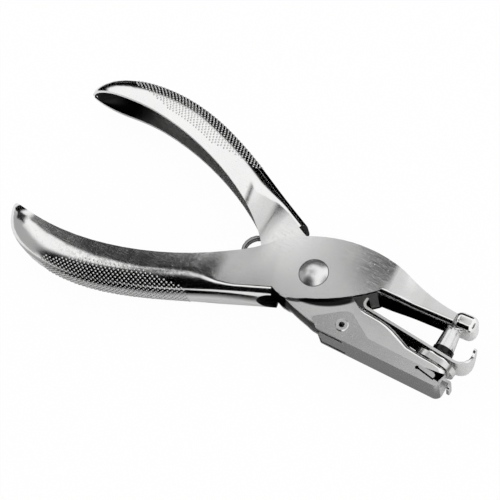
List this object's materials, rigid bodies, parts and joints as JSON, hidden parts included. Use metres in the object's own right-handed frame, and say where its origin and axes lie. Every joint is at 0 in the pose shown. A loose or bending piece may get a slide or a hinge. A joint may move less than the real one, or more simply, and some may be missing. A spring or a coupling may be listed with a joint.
{
  "type": "hole punch",
  "caption": "Plier-style hand punch: curved pressed-sheet levers crossing at a rivet, round pin and die, stripper strip with upturned lip, hinged chip tray and wire return spring.",
  "frame": {"origin": "on the pivot rivet's axis, in the plane that the punch lies on: the face of the rivet's tail, level with the grips' sides", "axes": "+X towards the jaws, halving the angle between the handles; +Y towards the die lever's handle; +Z along the rivet towards its domed head"},
  "size_m": [0.1655, 0.0766, 0.0157],
  "materials": {
    "lever_plate": "bright nickel plate on pressed steel, satin on the flat pivot plates",
    "rivet": "bright plated domed rivet",
    "spring_wire": "drawn spring wire, dull bright",
    "tool_steel": "hardened and ground, bright round its cutting end",
    "die_steel": "hardened, ground on top",
    "stripper_sheet": "bright plated spring sheet",
    "tray_sheet": "satin plated sheet, greyer than the levers",
    "eyelet": "bright plated rolled eyelet"
  },
  "bodies": {
    "punch_side": {"punch_lever": "lever_plate", "pivot_rivet": "rivet", "punch_pin": "tool_steel"},
    "die_side": {"die_lever": "lever_plate", "die_plate": "die_steel", "stripper_plate": "stripper_sheet", "stripper_rivet": "rivet", "tray_eyelet_near": "eyelet", "tray_eyelet_far": "eyelet", "return_spring": "spring_wire"},
    "tray": {"chip_tray": "tray_sheet"}
  },
  "joints": [
    {"name": "squeeze", "type": "hinge", "parent": "punch_side", "child": "die_side", "pos_m": [0, 0, 0.0075], "axis": [0, 0, 1], "range_deg": [0, 5.5], "stiffness_Nm_per_rad": 0.6, "springref_deg": -28.65, "deforming": ["return_spring"]},
    {"name": "tray_swing", "type": "hinge", "parent": "die_side", "child": "tray", "pos_m": [0.0165, -0.0104, 0.0075], "axis": [0, 0, -1], "range_deg": [0, 35]}
  ]
}
